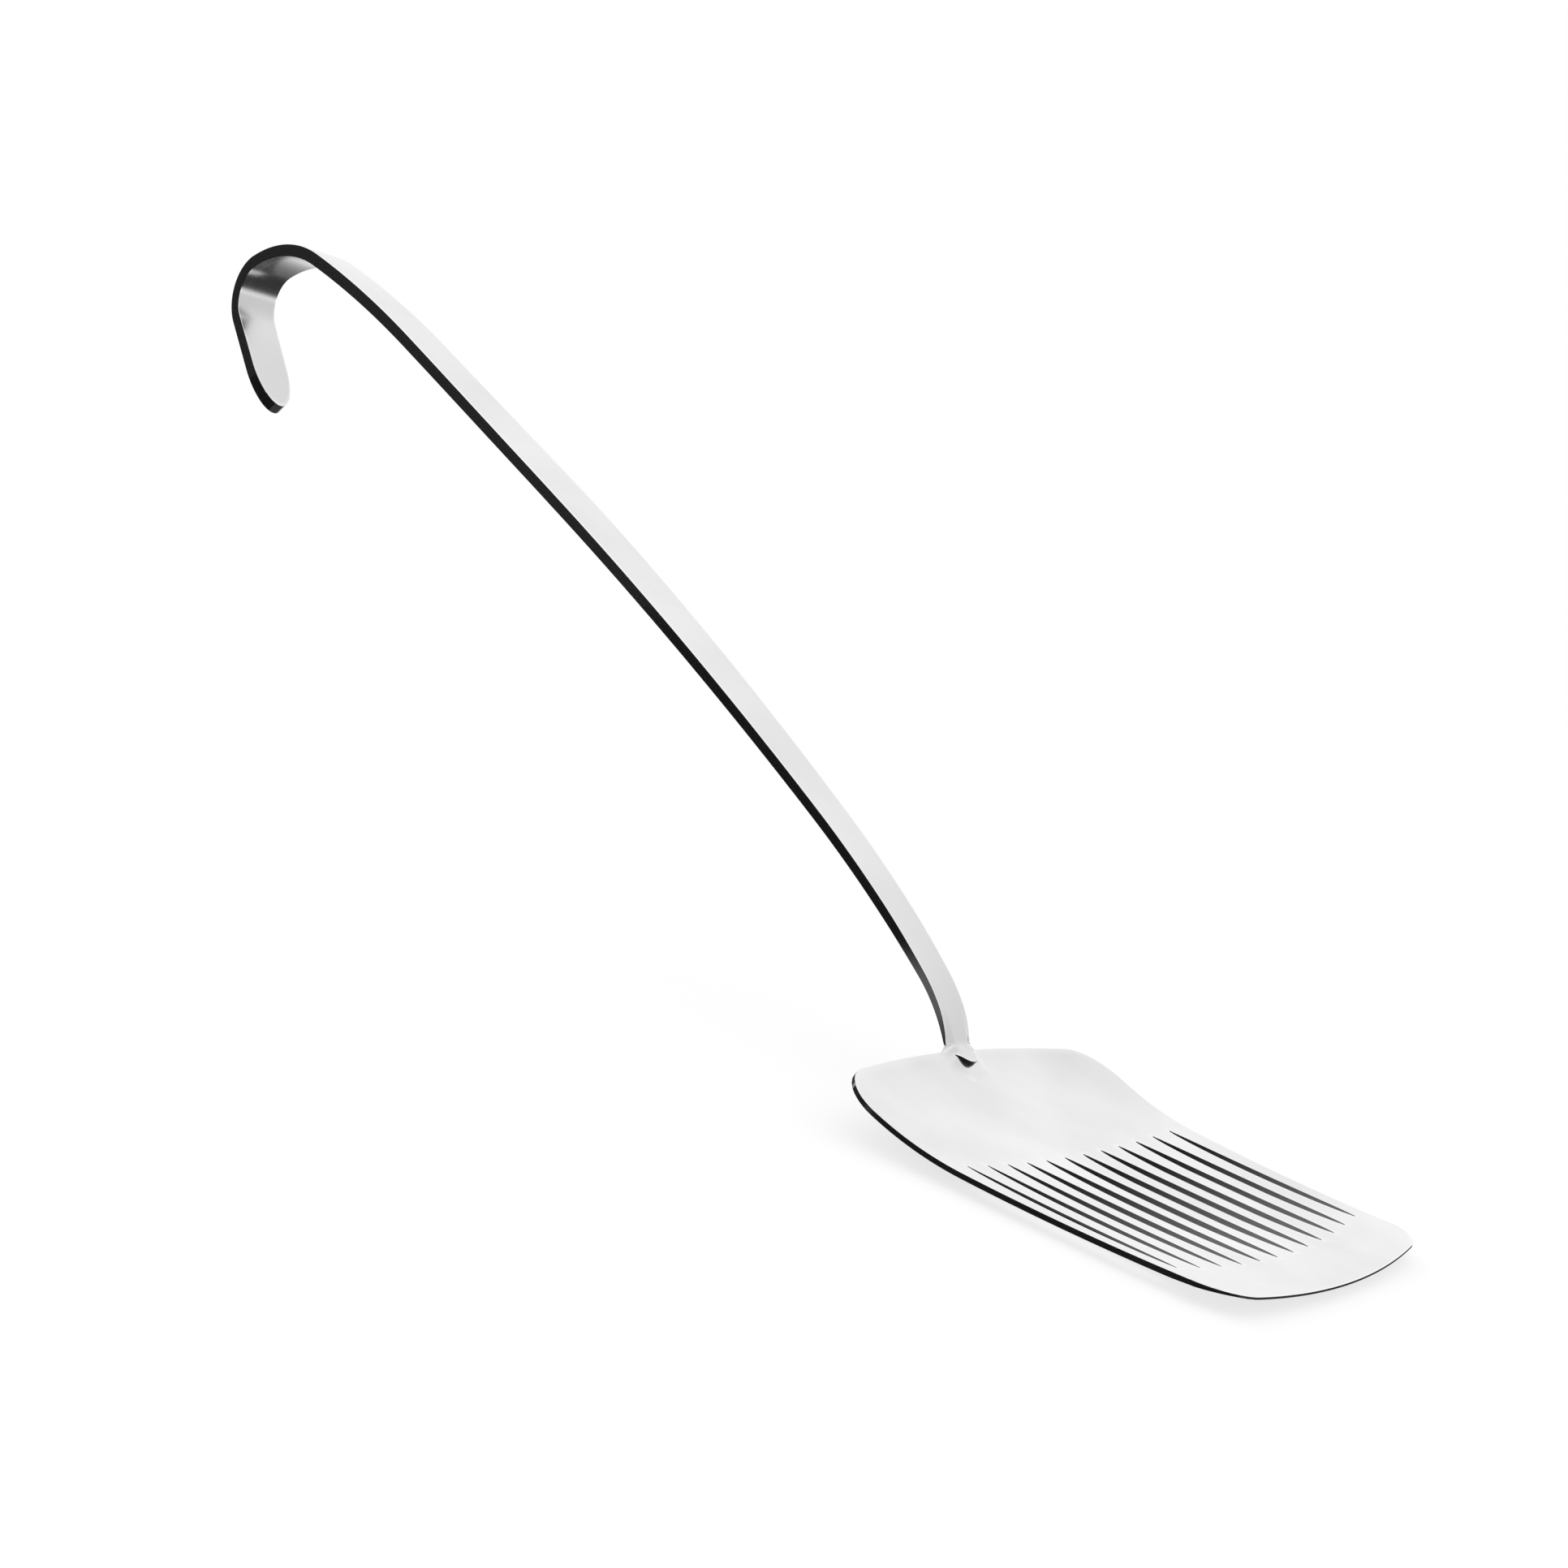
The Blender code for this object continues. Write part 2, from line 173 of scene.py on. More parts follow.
def makeSteel(name, finish):
    material = bpy.data.materials.new(name)
    material.use_nodes = True
    tree = material.node_tree
    shader = tree.nodes["Principled BSDF"]
    shader.inputs["Metallic"].default_value = 1.0
    where = addNode(tree, "ShaderNodeTexCoord", (-1000, 0))
    grain = addNode(tree, "ShaderNodeGroup", (-780, 0), node_tree=steelGrain)
    grain.inputs["Cloud Size"].default_value = finish["cloudSize"]
    grain.inputs["Line Size"].default_value = finish["lineSize"]
    grain.inputs["Line Length"].default_value = finish["lineLength"]
    shade = addRange(tree, (-560, 200), finish["noiseSpan"], finish["shade"])
    gloss = addRange(tree, (-560, -60), finish["noiseSpan"], finish["gloss"])
    # the next three start from what is linked to them
    # the edge attribute brings edge wear and a painted highlight: a lighter colour and a lower roughness
    wearAndHighlight = addNode(tree, "ShaderNodeAttribute", (-560, 420), attribute_name="wearAndHighlight")
    bright = addRange(tree, (-340, 420), (0.0, 1.0), (0.0, finish["wearAndHighlightShade"]))
    polish = addRange(tree, (-340, -60), (0.0, 1.0), (0.0, finish["rimGloss"]))
    seam = addNode(tree, "ShaderNodeAttribute", (-340, 640), attribute_name="seam")
    dark = addRange(tree, (-140, 420), (finish["seamFrom"], 1.0), (0.0, finish["seamShade"]))
    colour = addNode(tree, "ShaderNodeCombineColor", (40, 200))
    bump = addNode(tree, "ShaderNodeBump", (-340, -260))
    bump.inputs["Strength"].default_value = finish["lineDepth"]
    bump.inputs["Distance"].default_value = finish["lineHeight"] * mm
    link = tree.links.new
    link(where.outputs[finish["coordinate"]], grain.inputs["Vector"])
    link(grain.outputs["Clouds"], shade.inputs["Value"])
    link(grain.outputs["Lines"], gloss.inputs["Value"])
    link(grain.outputs["Lines"], bump.inputs["Height"])
    link(wearAndHighlight.outputs["Fac"], bright.inputs["Value"])
    link(shade.outputs["Result"], bright.inputs["To Min"])
    link(seam.outputs["Fac"], dark.inputs["Value"])
    link(bright.outputs["Result"], dark.inputs["To Min"])
    for channel in ("Red", "Green", "Blue"):
        link(dark.outputs["Result"], colour.inputs[channel])
    link(colour.outputs["Color"], shader.inputs["Base Color"])
    link(wearAndHighlight.outputs["Fac"], polish.inputs["Value"])
    link(gloss.outputs["Result"], polish.inputs["To Min"])
    link(polish.outputs["Result"], shader.inputs["Roughness"])
    link(bump.outputs["Normal"], shader.inputs["Normal"])
    return material


bladeSteel = makeSteel("bladeSteel", bladeFinish)
handleSteel = makeSteel("handleSteel", handleFinish)
weldSteel = makeSteel("weldSteel", weldFinish)
print("finishes made")


# Blade: a grid whose columns follow the slots, shaped to the pressed sheet and given its thickness
bladeSheet = {
    "thickness": 1.15,
    "tipThickness": 0.5,
    "grindWidth": 3.0,
    "grindStart": 4.0,  # before the tip's corners
    "grindRunOut": 13.0,
    "highlightRimWidth": 0.45,  # painted highlight along the ground tip edge
    "edgeWear": 0.4,
    "heelLength": 34.1,  # from the slots' heel ends
    "tipLength": 62.4,
    "heelHalf": 48.96,
    "tipHalf": 41.4,
    "heelEdge": 200.0,  # radii of the end edges, their corners and the sheet's curves
    "tipEdge": 233.0,
    "heelCorner": 11.0,
    "tipCorner": 10.0,
    "dishRadius": 415.0,
    "bowlRadius": 590.0,
    "bowlLow": 22.0,
    "curlRadius": 80.0,
    "curlStart": 3.0,
    "slots": 12,
    "slotWidth": 3.7,
    "slotNarrowing": 0.3,
    "slotEnd": 0.3,  # half width left at a slot's ends
    "heelMargin": 6.4,
    "tipMargin": 4.1,
    "slotToTip": 13.6,
    "edgeRound": 0.07,
    "edgeSteps": 2,
    "heelRows": 18,
    "slotRows": 40,
    "tipRows": 12,
    "bridgeColumns": 4,
    "marginColumns": 8,
}
bladeLow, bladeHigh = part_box("blade")
tipSlope = (bladeSheet["tipLength"] - bladeSheet["bowlLow"]) / bladeSheet["bowlRadius"]
tipLean = bladeSheet["tipThickness"] * tipSlope  # the tip's lower edge stands this far beyond its upper one
bladeOrigin = Vector((
    bladeHigh.x / mm - bladeSheet["tipLength"] - tipLean,
    0.0,
    bladeLow.z / mm + bladeSheet["thickness"],
))


def sideHalf(x):
    length = bladeSheet["heelLength"] + bladeSheet["tipLength"]
    return mix(bladeSheet["heelHalf"], bladeSheet["tipHalf"], (x + bladeSheet["heelLength"]) / length)


def tipEdgeX(y):
    return bladeSheet["tipLength"] - bladeSheet["tipEdge"] + math.sqrt(bladeSheet["tipEdge"] ** 2 - y * y)


def ray(angle):
    return Vector((math.cos(angle), math.sin(angle)))


def endShape(end):
    # the heel's (-1) or tip's (1) edge and corner: each arc's centre, radius, first and last angle
    length = bladeSheet["heelLength"] + bladeSheet["tipLength"]
    along = Vector((length, bladeSheet["tipHalf"] - bladeSheet["heelHalf"])).normalized()
    inward = Vector((along.y, -along.x))
    if end < 0:
        radius, corner = bladeSheet["heelEdge"], bladeSheet["heelCorner"]
        middle = Vector((radius - bladeSheet["heelLength"], 0.0))
        first = math.pi
    else:
        radius, corner = bladeSheet["tipEdge"], bladeSheet["tipCorner"]
        middle = Vector((bladeSheet["tipLength"] - radius, 0.0))
        first = 0.0
    offset = Vector((-bladeSheet["heelLength"], bladeSheet["heelHalf"])) + corner * inward - middle
    half = along.dot(offset)
    root = math.sqrt(half * half - offset.length_squared + (radius - corner) ** 2)
    centre = middle + offset + (end * root - half) * along
    turn = math.atan2(centre.y, centre.x - middle.x)
    last = math.atan2(-inward.y, -inward.x)
    return (middle, radius, first, turn), (centre, corner, turn, last)


def arcRun(arc):
    return arc[1] * abs(arc[3] - arc[2])


def arcPoint(arc, share):
    centre, radius, first, last = arc
    return centre + radius * ray(mix(first, last, share))


def endPoint(end, share):
    # share 0 is the edge's middle, 1 or -1 where the side begins
    edge, corner = endShape(end)
    run = abs(share) * (arcRun(edge) + arcRun(corner))
    if run < arcRun(edge):
        point = arcPoint(edge, run / arcRun(edge))
    else:
        point = arcPoint(corner, (run - arcRun(edge)) / arcRun(corner))
    return Vector((point.x, math.copysign(point.y, share)))


def slotRails():
    # the blade's sides and each slot's two edges: y at the slots' heel ends and at their tip ends,
    # the slot's place from -1 to 1, and the edge's side of it
    reach = (bladeSheet["slots"] - 1) / 2
    sideTip = sideHalf(tipEdgeX(sideHalf(bladeSheet["tipLength"])) - bladeSheet["slotToTip"])
    heelReach = sideHalf(0.0) - bladeSheet["heelMargin"]
    tipReach = sideHalf(bladeSheet["tipLength"] - bladeSheet["slotToTip"]) - bladeSheet["tipMargin"]
    rails = [(-sideHalf(0.0), -sideTip, 0.0, 0)]
    for number in range(bladeSheet["slots"]):
        place = (number - reach) / reach
        for side in (-1, 1):
            end = side * bladeSheet["slotEnd"]
            rails.append((place * heelReach + end, place * tipReach + end, place, side))
    rails.append((sideHalf(0.0), sideTip, 0.0, 0))
    return rails


def bladeColumns():
    # every column is a share of the way between two rails
    # openings are the columns between a slot's edges
    rails = slotRails()
    columns = []
    openings = []
    for left, right in zip(rails, rails[1:]):
        if left[3] == -1:
            openings.append(len(columns))
            steps = 1
        else:
            steps = bladeSheet["bridgeColumns"] if left[3] and right[3] else bladeSheet["marginColumns"]
        columns += [(left, right, step / steps) for step in range(steps)]
    columns.append((rails[-1], rails[-1], 0.0))
    return columns, openings


def slotBulge(rail, share):
    narrowing = 1 - bladeSheet["slotNarrowing"] * rail[2] ** 2
    half = bladeSheet["slotWidth"] / 2 * narrowing * math.sin(math.pi * share)
    return rail[3] * max(0.0, half - bladeSheet["slotEnd"])


def bladePlan(column, row):
    # a point of the plan, how far it is inside the outline,
    # and how far along the outline it is past the start of the tip's corner
    left, right, between = column
    heelY = mix(left[0], right[0], between)
    tipY = mix(left[1], right[1], between)
    heelEnd = Vector((0.0, heelY))
    tipEnd = Vector((tipEdgeX(tipY) - bladeSheet["slotToTip"], tipY))
    heelRow = row / bladeSheet["heelRows"]
    slotRow = (row - bladeSheet["heelRows"]) / bladeSheet["slotRows"]
    tipRow = (row - bladeSheet["heelRows"] - bladeSheet["slotRows"]) / bladeSheet["tipRows"]
    edgeShare = tipY / sideHalf(tipEnd.x)
    edgePoint = endPoint(1, edgeShare)
    if heelRow < 1:
        point = endPoint(-1, heelY / sideHalf(0.0)).lerp(heelEnd, heelRow)
    elif slotRow <= 1:
        push = mix(slotBulge(left, slotRow), slotBulge(right, slotRow), between)
        point = heelEnd.lerp(tipEnd, (1 - math.cos(math.pi * slotRow)) / 2) + Vector((0.0, push))
    else:
        point = tipEnd.lerp(edgePoint, math.sin(math.pi / 2 * tipRow))
    inside = min(sideHalf(point.x) - abs(point.y), (edgePoint - point).length)
    edge, corner = endShape(1)
    run = (1 - abs(edgeShare)) * (arcRun(edge) + arcRun(corner))
    return point, max(0.0, inside), mix(point.x - arcPoint(corner, 1).x, run, max(0.0, tipRow))


def curlCentre():
    # of the heel's curl, which touches the bowl's long arc where it starts
    rise = math.asin((bladeSheet["bowlLow"] - bladeSheet["curlStart"]) / bladeSheet["bowlRadius"])
    x = bladeSheet["curlStart"] + bladeSheet["curlRadius"] * math.sin(rise)
    z = bladeSheet["bowlRadius"] * (1 - math.cos(rise)) + bladeSheet["curlRadius"] * math.cos(rise)
    return x, z


def bladeTop(point):
    dish = bladeSheet["dishRadius"]
    if point.x < bladeSheet["curlStart"]:
        centreX, centreZ = curlCentre()
        rise = centreZ - math.sqrt(bladeSheet["curlRadius"] ** 2 - (centreX - point.x) ** 2)
    else:
        bowl = bladeSheet["bowlRadius"]
        rise = bowl - math.sqrt(bowl**2 - (point.x - bladeSheet["bowlLow"]) ** 2)
    return Vector((point.x, point.y, rise + dish - math.sqrt(dish**2 - point.y**2)))


def tipCloseness(inside, run, reach):
    # 1 on the ground part of the outline, 0 from this far inside it
    growth = ease((run + bladeSheet["grindStart"]) / bladeSheet["grindRunOut"])
    return growth * (1 - min(1.0, inside / reach))


def layUv(mesh, places):
    # a map in metres that lies flat along the piece
    layer = mesh.loops.layers.uv.new("UVMap")
    for face in mesh.faces:
        for loop in face.loops:
            loop[layer].uv = places[loop.vert.index] * mm


sharpEdge = 40.0  # faces that meet at more degrees than this get a rounded edge


def thicken(piece, shares, thickness, offset, sizes):
    # a wall whose thickness follows the shares, below the grid (offset -1) or above it (1), with round edges
    group = piece.vertex_groups.new(name="wall")
    for index, share in enumerate(shares):
        group.add([index], share, "REPLACE")
    wall = piece.modifiers.new("wall", "SOLIDIFY")
    wall.thickness = thickness * mm
    wall.offset = offset
    wall.use_even_offset = True
    wall.vertex_group = group.name
    edge = piece.modifiers.new("edge", "BEVEL")
    edge.width = sizes["edgeRound"] * mm
    edge.segments = sizes["edgeSteps"]
    edge.limit_method = "ANGLE"
    edge.angle_limit = math.radians(sharpEdge)
    edge.use_clamp_overlap = False
    edge.harden_normals = True


def makeBlade():
    columns, openings = bladeColumns()
    slotFirst = bladeSheet["heelRows"]
    slotLast = slotFirst + bladeSheet["slotRows"]
    rows = slotLast + bladeSheet["tipRows"]
    mesh = bmesh.new()
    bmesh.ops.create_grid(mesh, x_segments=len(columns) - 1, y_segments=rows, size=0.5)
    wearAndHighlight = mesh.verts.layers.float.new("wearAndHighlight")
    slotFaces = []
    for face in mesh.faces:
        spot = face.calc_center_median()
        column = int((spot.x + 0.5) * (len(columns) - 1))
        row = int((spot.y + 0.5) * rows)
        if column in openings and slotFirst <= row < slotLast:
            slotFaces.append(face)
    bmesh.ops.delete(mesh, geom=slotFaces, context="FACES")
    thinned = 1 - bladeSheet["tipThickness"] / bladeSheet["thickness"]  # ground off below the tip's edge
    shares = []
    places = []
    mesh.verts.index_update()
    for vert in mesh.verts:
        column = columns[round((vert.co.x + 0.5) * (len(columns) - 1))]
        point, inside, run = bladePlan(column, round((vert.co.y + 0.5) * rows))
        shares.append(1 - thinned * tipCloseness(inside, run, bladeSheet["grindWidth"]))
        places.append(point)
        # painted highlight along the ground tip edge, and wear on the outline and the slots' edges
        worn = bladeSheet["edgeWear"] if vert.is_boundary else 0.0
        vert[wearAndHighlight] = max(tipCloseness(inside, run, bladeSheet["highlightRimWidth"]), worn)
        vert.co = (bladeOrigin + bladeTop(point)) * mm
    bmesh.ops.reverse_faces(mesh, faces=mesh.faces)
    layUv(mesh, places)
    piece = makePiece("bladeSheet", mesh, bladeSteel)
    thicken(piece, shares, bladeSheet["thickness"], -1, bladeSheet)
    return piece


blade = makeBlade()
print("blade:", len(blade.data.vertices), "points")


# Handle: a strip bent along its underside, from the tongue on the blade's heel to the hook's end
handleStrip = {
    "gap": 0.3,  # the tongue's seat above the blade
    "lap": 4.8,
    "bends": (  # each arc's radius and turn in degrees, upwards or back
        (4.0, 29.2),
        (40.0, -22.5),
        (354.0, -7.6),
        (1415.0, -5.5),
        (70.0, 0.0),  # the straight grip's length
        (429.0, -7.5),
        (41.9, -44.0),
        (10.0, -103.9),
    ),
    "leg": 33.2,
    "widths": (8.9, 15.2, 14.2, 13.6, 12.6),  # at the tongue, the widest, the grip's end, the hook, the end
    "widestBefore": 14.0,
    "evenWidening": 0.7,
    "tongueThickness": 1.5,
    "neckThickness": 2.2,
    "endThickness": 4.17,
    "thinning": 40.0,
    "tongueRound": 7.0,
    "legRound": 15.0,
    "edgeRound": 0.2,
    "edgeSteps": 3,
    "edgeWear": 0.85,
    "seamEnd": 3.0,  # the dark step at the tongue's end, and where it fades
    "seamFade": 1.5,
    "groundWidth": 2.2,  # the sides' top corners, ground down at the welds
    "groundShare": 0.67,
    "groundStart": 1.2,
    "groundFull": (4.4, 5.6),
    "groundEnd": 15.0,
    "step": 3.0,
    "turnStep": 2.5,
    "leastStep": 0.2,
    "columns": 18,
}


def stripSegments():
    lap = handleStrip["lap"]
    segments = [(lap, lap / (bladeSheet["curlRadius"] - handleStrip["gap"]))]
    for size, turn in handleStrip["bends"]:
        length = size * math.radians(abs(turn)) if turn else size
        segments.append((length, math.radians(turn)))
    return segments + [(handleStrip["leg"], 0.0)]


segments = stripSegments()
stripLength = sum(length for length, turn in segments)
grip = 1 + [turn for size, turn in handleStrip["bends"]].index(0.0)
gripStart = sum(length for length, turn in segments[:grip])
gripEnd = gripStart + segments[grip][0]


def stripPlace(run):
    # the underside's point and the normal that runs up through the strip
    centreX, centreZ = curlCentre()
    radius = bladeSheet["curlRadius"] - handleStrip["gap"]
    rise = math.asin((bladeSheet["heelLength"] + centreX) / bladeSheet["curlRadius"]) - segments[0][1]
    x = centreX - radius * math.sin(rise)
    z = centreZ - radius * math.cos(rise)
    left = run
    for length, turn in segments:
        part = min(left, length)
        bend = turn * part / length
        chord = part * math.sin(bend / 2) / (bend / 2) if abs(bend) > tiny else part
        x -= chord * math.cos(rise + bend / 2)
        z += chord * math.sin(rise + bend / 2)
        rise += bend
        left -= part
        if left <= 0:
            break
    return Vector((x, 0.0, z)), Vector((math.sin(rise), 0.0, math.cos(rise)))


def stripWidth(run):
    hookStart = stripLength - handleStrip["leg"] - segments[-2][0]
    stations = (0.0, gripStart - handleStrip["widestBefore"], gripEnd, hookStart, stripLength)
    widths = handleStrip["widths"]
    for index in range(len(stations) - 1):
        if run <= stations[index + 1]:
            share = (run - stations[index]) / (stations[index + 1] - stations[index])
            if index == 0:
                share = mix(math.sin(share * math.pi / 2) ** 2, share, handleStrip["evenWidening"])
            else:
                share = ease(share)
            return mix(widths[index], widths[index + 1], share)
    return widths[-1]


def stripThickness(run):
    taper = mix(handleStrip["neckThickness"], handleStrip["endThickness"], run / stripLength)
    return mix(handleStrip["tongueThickness"], taper, ease(run / handleStrip["thinning"]))


def groundDown(run):
    # how much of the full grinding the strip's sides have here
    first, last = handleStrip["groundFull"]
    if run < first:
        return ease((run - handleStrip["groundStart"]) / (first - handleStrip["groundStart"]))
    return max(0.0, 1 - max(0.0, run - last) / (handleStrip["groundEnd"] - last)) ** 2


def stripTop(run, inset):
    # height above the underside, this far in from the strip's side
    ground = groundDown(run) * ease(1 - inset / handleStrip["groundWidth"])
    return stripThickness(run) * (1 - handleStrip["groundShare"] * ground)


def tongueSide(run):
    # the strip's half width with the tongue's rounding,
    # and the way out from its side: along the strip and across it
    turn = math.acos(min(1.0, max(0.0, 1 - run / handleStrip["tongueRound"])))
    half = stripWidth(run) / 2
    outward = Vector((-half * math.cos(turn), handleStrip["tongueRound"] * math.sin(turn))).normalized()
    return half * math.sin(turn), outward


def stripRuns():
    # where rows cross the strip between its two rounded ends
    first = handleStrip["tongueRound"]
    last = stripLength - handleStrip["legRound"]
    runs = [first]
    start = 0.0
    for length, turn in segments:
        byLength = math.ceil(length / handleStrip["step"])
        count = max(byLength, math.ceil(math.degrees(abs(turn)) / handleStrip["turnStep"]))
        for step in range(count):
            run = start + length * (step + 1) / count
            if first + handleStrip["leastStep"] < run < last - handleStrip["leastStep"]:
                runs.append(run)
        start += length
    return runs + [last]


def roundedEnd(across, out):
    # bends the end's square grid into loops round the end:
    # the new share across, and the share of the rounding's length
    reach = max(abs(across), out)
    if out > abs(across):
        angle = math.pi / 4 * across / out
    else:
        angle = math.copysign(math.pi / 2 - math.pi / 4 * out / max(abs(across), tiny), across)
    return reach * math.sin(angle), reach * math.cos(angle)


def makeHandle():
    runs = stripRuns()
    columns = handleStrip["columns"]
    ends = columns // 2
    rows = len(runs) - 1 + 2 * ends
    mesh = bmesh.new()
    bmesh.ops.create_grid(mesh, x_segments=columns, y_segments=rows, size=0.5)
    wearAndHighlight = mesh.verts.layers.float.new("wearAndHighlight")
    seam = mesh.verts.layers.float.new("seam")
    shares = []
    places = []
    mesh.verts.index_update()
    for vert in mesh.verts:
        across = 2 * vert.co.x
        row = round((vert.co.y + 0.5) * rows)
        if row < ends:
            across, out = roundedEnd(across, (ends - row) / ends)
            run = runs[0] - handleStrip["tongueRound"] * out
        elif row < ends + len(runs):
            run = runs[row - ends]
        else:
            across, out = roundedEnd(across, (row - ends - len(runs) + 1) / ends)
            run = runs[-1] + handleStrip["legRound"] * out
        side = across * stripWidth(run) / 2
        if vert.is_boundary:
            vert[wearAndHighlight] = handleStrip["edgeWear"]
            vert[seam] = 1 - ease((run - handleStrip["seamEnd"]) / handleStrip["seamFade"])
        shares.append(stripTop(run, tongueSide(run)[0] - abs(side)) / handleStrip["endThickness"])
        places.append(Vector((run, side)))
        vert.co = (bladeOrigin + stripPlace(run)[0] + Vector((0.0, side, 0.0))) * mm
    layUv(mesh, places)
    piece = makePiece("handleStrip", mesh, handleSteel)
    thicken(piece, shares, handleStrip["endThickness"], 1, handleStrip)
    return piece


handle = makeHandle()
print("handle:", round(stripLength), "mm of strip")


# Welds: fillets that grow along the tongue's sides and run out up the neck, ground into strip and blade
weldBead = {
    "full": 4.2,  # along the tongue from its end
    "tipCrest": 0.3,  # share of the strip's height at the tongue's end
    "tipFoot": 4.6,
    "foot": 3.4,
    "lip": 0.04,  # the face's reach past the foot
    "bite": 0.03,  # the foot's edge below the blade's face
    "proud": 0.02,
    "inset": 0.05,  # the crest's least distance onto the strip
    "spread": 2.0,  # and how much is added, from this share of the growth on
    "spreadFrom": 0.6,
    # lengths beyond the heel edge: the bead, its foot and root, and its fit to the strip's edge and top
    "wash": 2.6,
    "footFade": 2.0,
    "sinkFade": 1.5,
    "skinStart": 0.4,
    "follow": 2.2,
    "footPower": 3,  # how fast the foot fades
    "washDepth": 0.15,  # below the strip's top where the bead ends
    "skinFall": 3.0,  # slope outside the strip's edge
    # the face's curve: share of the way out at its crest, bare and spread, and of the way back at its foot
    "crestPull": (0.5, 0.35),
    "footPull": (0.45, 0.7),
    "stubOut": (0.1, 0.08),  # the same two places where no foot is left, and their drop
    "stubDrop": (0.5, 0.6),
    "let": 0.7,  # depth into the strip
    "under": ((0.9, 0.15, 0.02), (0.6, 0.4, 0.05)),  # share of the foot, depth in the blade, least depth
    "backRise": 0.6,
    "rows": 64,
    "endRows": 0.7,  # share of the rows round the tongue's end
    "steps": 14,
    "merge": 0.001,
    "sharpEdge": 50.0,
}


def weldRing(run, inner):
    # one section's outline: out from the strip's side and up from its underside
    beyond = max(0.0, run - handleStrip["lap"])
    washed = ease(beyond / weldBead["wash"])
    grown = ease(run / weldBead["full"])
    fade = max(0.0, 1 - beyond / weldBead["footFade"]) ** weldBead["footPower"]
    foot = mix(weldBead["tipFoot"], weldBead["foot"], grown) * fade
    cover = ease((grown - weldBead["spreadFrom"]) / (1 - weldBead["spreadFrom"])) * (1 - washed)
    inset = weldBead["inset"] + weldBead["spread"] * cover
    top = stripTop(run, inset) + weldBead["proud"]
    low = (inner + foot) ** 2 / (2 * bladeSheet["dishRadius"]) - handleStrip["gap"] - weldBead["bite"]
    low = mix(low, top - weldBead["washDepth"], washed)
    crest = mix(low, top, mix(weldBead["tipCrest"], 1.0, grown))
    last = foot + weldBead["lip"]
    sloping = ease(foot)
    # the face's two middle control points, for a bead with a foot and for the stub beyond it
    crestOut = mix(weldBead["stubOut"][0], mix(-inset, last, mix(*weldBead["crestPull"], cover)), sloping)
    crestUp = mix(mix(crest, low, weldBead["stubDrop"][0] * sloping), crest, cover)
    footOut = mix(weldBead["stubOut"][1], mix(last, -inset, mix(*weldBead["footPull"], cover)), sloping)
    footUp = mix(mix(crest, low, weldBead["stubDrop"][1]), low, sloping)
    curve = ((-inset, crest), (crestOut, crestUp), (footOut, footUp), (last, low))
    points = []
    for step in range(weldBead["steps"] + 1):
        share = step / weldBead["steps"]
        weights = ((1 - share) ** 3, 3 * share * (1 - share) ** 2, 3 * share**2 * (1 - share), share**3)
        out, up = (sum(w * spot[axis] for w, spot in zip(weights, curve)) for axis in (0, 1))
        skin = stripTop(run, max(0.0, -out)) + weldBead["proud"] - weldBead["skinFall"] * max(0.0, out)
        if out < 0:
            up = mix(up, skin, ease(beyond / weldBead["follow"]))
        points.append((out, mix(up, max(up, skin), ease(beyond / weldBead["skinStart"]))))
    buried = 1 - ease(beyond / weldBead["sinkFade"])
    for share, depth, least in weldBead["under"]:
        points.append((foot * share, low - depth * buried - least))
    points.append((-weldBead["let"], points[-1][1]))
    points.append((-inset - weldBead["inset"], mix(low, crest, weldBead["backRise"])))
    return points


def weldRun(share):
    # even steps round the tongue's end and on up the neck
    rounding = handleStrip["tongueRound"]
    split = weldBead["endRows"]
    if share < split:
        return rounding * (1 - math.cos(math.pi / 2 * share / split))
    return mix(rounding, handleStrip["lap"] + weldBead["wash"], (share - split) / (1 - split))


def makeWeld(name, side):
    corners = len(weldRing(0.0, 0.0))
    rows = weldBead["rows"]
    mesh = bmesh.new()
    bmesh.ops.create_grid(mesh, x_segments=corners, y_segments=rows, size=0.5)
    for vert in mesh.verts:
        run = weldRun(vert.co.y + 0.5)
        inner, outward = tongueSide(run)
        out, up = weldRing(run, inner)[round((vert.co.x + 0.5) * corners) % corners]
        place, normal = stripPlace(run + out * outward.x)
        across = Vector((0.0, side * (inner + out * outward.y), 0.0))
        vert.co = (bladeOrigin + place + up * normal + across) * mm
    bmesh.ops.remove_doubles(mesh, verts=mesh.verts, dist=weldBead["merge"] * mm)
    bmesh.ops.holes_fill(mesh, edges=[edge for edge in mesh.edges if edge.is_boundary], sides=0)
    bmesh.ops.recalc_face_normals(mesh, faces=mesh.faces)
    piece = makePiece(name, mesh, weldSteel)
    piece.data.set_sharp_from_angle(angle=math.radians(weldBead["sharpEdge"]))
    return piece


weldLeft = makeWeld("weldLeft", 1)
weldRight = makeWeld("weldRight", -1)
print("welds made")

for piece, node, slot in (
    (blade, "blade", "blade"),
    (handle, "handle", "handle"),
    (weldLeft, "weld_bead_left", "welds"),
    (weldRight, "weld_bead_right", "welds"),
):
    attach(piece, "root")
    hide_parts(node)


# Studio: white all round, with dark cards that only show in the steel
studio = {
    "sky": (1.0, 0.7),  # towards the hook and towards the tip
    "skyFrom": (-0.35, 0.8),  # the direction's x where it starts and stops falling
    "floorSize": 8000.0,
    "floorHeight": -0.1,
    "floorWhite": 1.05,
    "floorShade": 0.3,  # share of the floor's white that takes shadow
    "cardHeight": -0.05,
    "wallHeight": 450.0,
}


